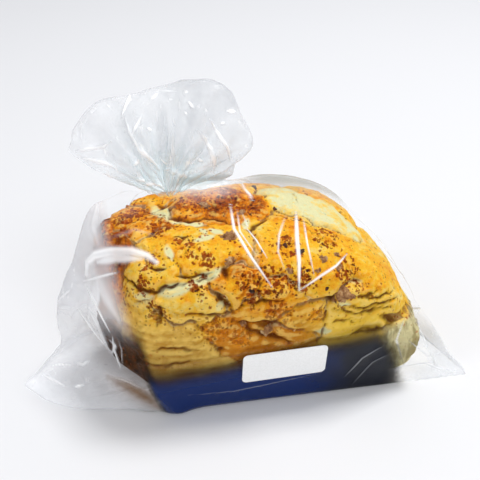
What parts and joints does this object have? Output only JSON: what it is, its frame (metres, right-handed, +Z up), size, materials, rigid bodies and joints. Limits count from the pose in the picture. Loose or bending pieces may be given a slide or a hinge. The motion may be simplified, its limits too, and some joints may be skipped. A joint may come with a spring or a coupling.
{
  "type": "loaf in bread bag",
  "caption": "Crusty pull-apart loaf in a clear film bag, its mouth gathered into a neck with loose film above, with a coloured band and a blank price sticker.",
  "frame": {"origin": "on the surface it stands on, under the middle of the bag's own box", "axes": "+Z up, +X along the loaf's length towards its lower end, -Y out of the front that carries the sticker"},
  "size_m": [0.32, 0.135, 0.2031],
  "materials": {
    "film": "clear, glossy, crinkled",
    "sticker": "matt white",
    "crust": "baked crust, matt, stands in for bread",
    "walnut": "matt, stands in for walnut kernel",
    "dried_fruit": "satin, stands in for baked-in dried fruit"
  },
  "bodies": {
    "root": {"bag": "film", "price_sticker": "sticker"}
  },
  "joints": []
}
